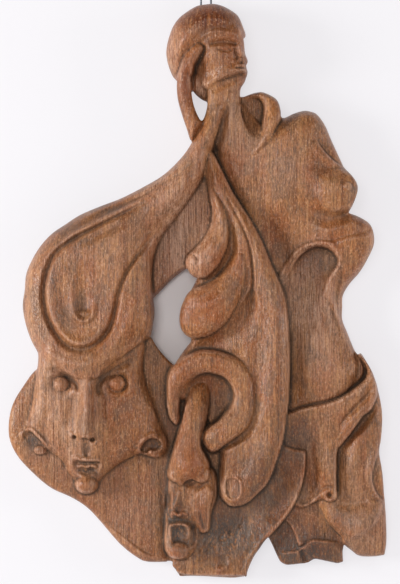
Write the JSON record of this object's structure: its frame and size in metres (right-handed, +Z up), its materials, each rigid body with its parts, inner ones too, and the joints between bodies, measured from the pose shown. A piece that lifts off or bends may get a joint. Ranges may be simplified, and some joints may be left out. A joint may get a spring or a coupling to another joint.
{
  "type": "carved wooden bas-relief",
  "caption": "Tall carved wooden wall relief of flowing hair strands, masks, a torso and draped skirt, pierced through, with a wire hanging loop at the top.",
  "frame": {"origin": "on the flat back, behind the crossing of the hair strand and the neck, where the relief rests on the wall", "axes": "+Z up towards the wire loop, +Y into the wall, the carved side faces -Y, +X to the viewer's right"},
  "size_m": [0.3802, 0.0495, 0.5904],
  "materials": {
    "stained_oak": "waxed, hand carved",
    "grey_steel_wire": "drawn wire"
  },
  "bodies": {
    "root": {"carved_relief": "stained_oak", "hanging_loop": "grey_steel_wire"}
  },
  "joints": []
}
